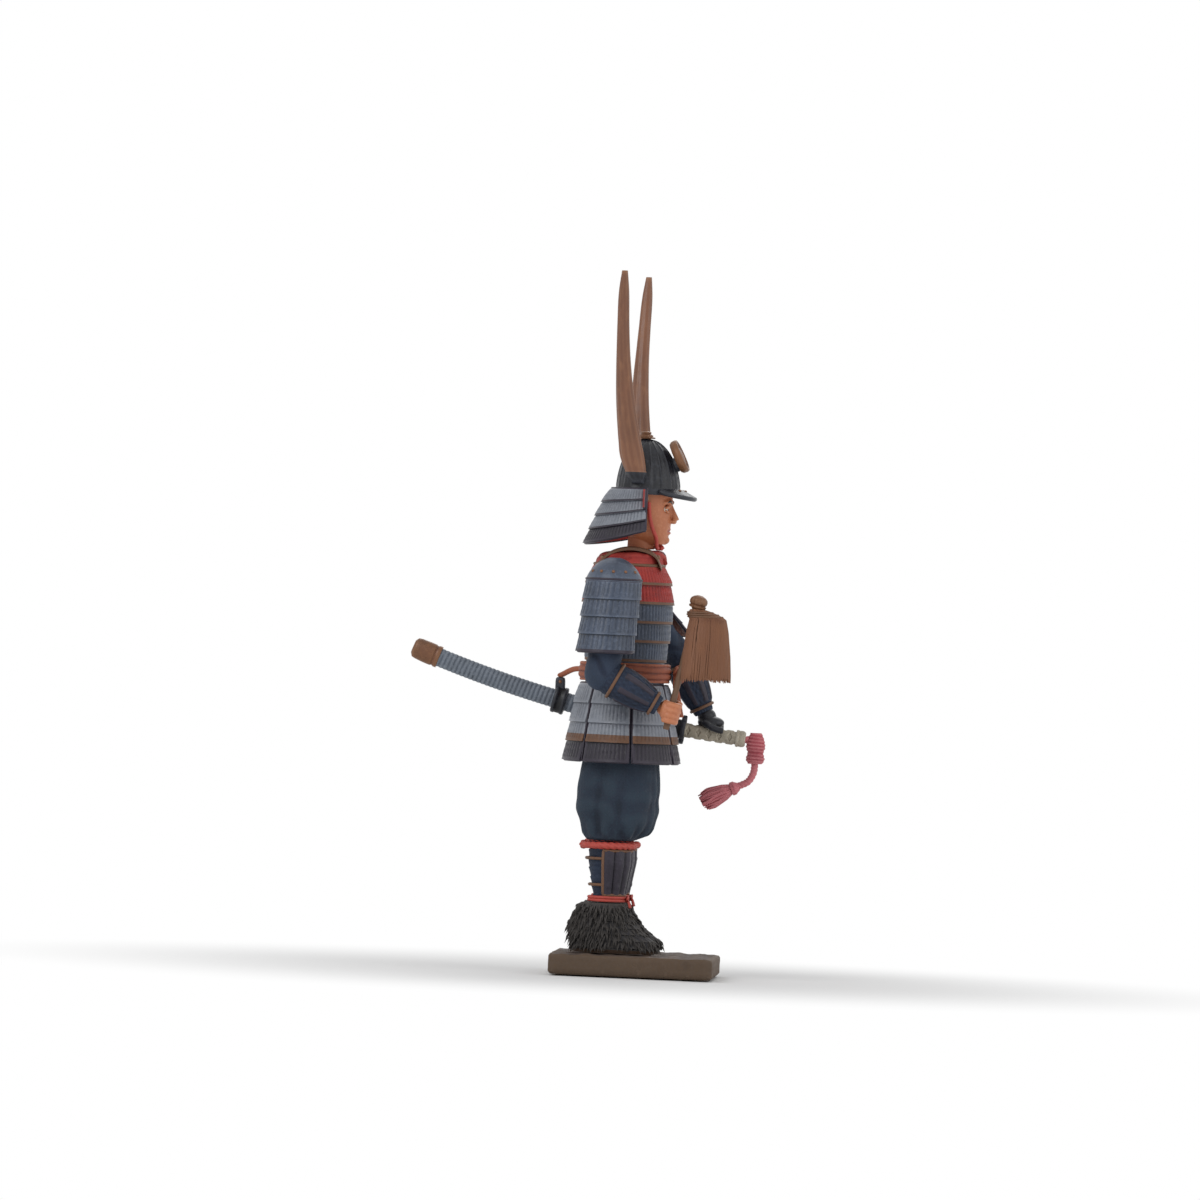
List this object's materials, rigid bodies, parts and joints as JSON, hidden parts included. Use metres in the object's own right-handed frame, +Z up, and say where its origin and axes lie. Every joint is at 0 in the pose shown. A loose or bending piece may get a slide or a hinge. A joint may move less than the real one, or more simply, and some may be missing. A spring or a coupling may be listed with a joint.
{
  "type": "samurai figure",
  "caption": "Painted toy samurai on a slab base, in horned helmet and lamellar armour, holding a tasselled baton; head and both arms turn on round pegs.",
  "frame": {"origin": "middle of the base plate's underside", "axes": "+X is the way the figure faces, +Y its left side, +Z up"},
  "size_m": [0.0441, 0.0284, 0.0855],
  "materials": {
    "base_brown": "painted matt plastic",
    "boot_fur": "matt, textured",
    "red_cord": "painted matt plastic",
    "red_cloth": "painted matt plastic",
    "navy_cloth": "painted matt plastic",
    "slate_armour": "painted matt plastic",
    "rust_cloth": "painted matt plastic",
    "black_armour": "satin",
    "scabbard_grey": "painted matt plastic",
    "bronze_brown": "satin",
    "hilt_bone": "painted matt plastic",
    "tassel_red": "painted matt plastic",
    "skin": "painted matt plastic",
    "stick_brown": "painted matt plastic",
    "tassel_brown": "painted matt plastic",
    "horn_brown": "satin"
  },
  "bodies": {
    "figure": {"base_plate": "base_brown", "cuirass": "slate_armour", "front_hanger": "black_armour", "front_hanger_cord": "rust_cloth", "hilt_cap": "hilt_bone", "left_boot": "boot_fur", "left_boot_tie": "red_cord", "left_knee_band": "red_cord", "left_shin": "navy_cloth", "left_shin_guard": "slate_armour", "rear_hanger": "black_armour", "rear_hanger_cord": "rust_cloth", "right_boot": "boot_fur", "right_boot_tie": "red_cord", "right_knee_band": "red_cord", "right_shin": "navy_cloth", "right_shin_guard": "slate_armour", "sash_knot": "rust_cloth", "scabbard": "scabbard_grey", "scabbard_tip": "bronze_brown", "shoulder_yoke": "red_cloth", "sword_guard": "black_armour", "sword_hilt": "hilt_bone", "tassel_cord": "tassel_red", "tassel_end": "tassel_red", "tassel_knot": "tassel_red", "tasset_back_left": "slate_armour", "tasset_back_right": "slate_armour", "tasset_front": "slate_armour", "tasset_front_left": "slate_armour", "tasset_front_right": "slate_armour", "tasset_side_left": "slate_armour", "tasset_side_right": "slate_armour", "trousers": "navy_cloth", "waist_sash": "rust_cloth"},
    "head": {"head": "skin", "helmet_bowl": "black_armour", "helmet_knob": "bronze_brown", "helmet_visor": "black_armour", "neck_guard": "slate_armour", "right_turnback": "slate_armour", "left_turnback": "slate_armour", "right_horn": "horn_brown", "left_horn": "horn_brown", "front_crest": "bronze_brown", "chin_cord": "red_cord"},
    "right_arm": {"right_upper_arm": "red_cloth", "right_forearm": "navy_cloth", "right_hand": "skin", "right_shoulder_guard": "slate_armour", "baton_stick": "stick_brown", "baton_cap": "bronze_brown", "baton_tassel": "tassel_brown"},
    "left_arm": {"left_upper_arm": "red_cloth", "left_forearm": "navy_cloth", "left_hand": "black_armour", "left_shoulder_guard": "slate_armour"}
  },
  "joints": [
    {"name": "head_turn", "type": "hinge", "parent": "figure", "child": "head", "pos_m": [-0.0014, 0, 0.0518], "axis": [0, 0, 1], "range_deg": [-34, 42]},
    {"name": "right_arm_swing", "type": "hinge", "parent": "figure", "child": "right_arm", "pos_m": [-0.004, -0.0094, 0.0478], "axis": [0, -1, 0], "range_deg": [-12, 60]},
    {"name": "left_arm_swing", "type": "hinge", "parent": "figure", "child": "left_arm", "pos_m": [-0.004, 0.0094, 0.0478], "axis": [0, -1, 0], "range_deg": [0, 40]}
  ]
}
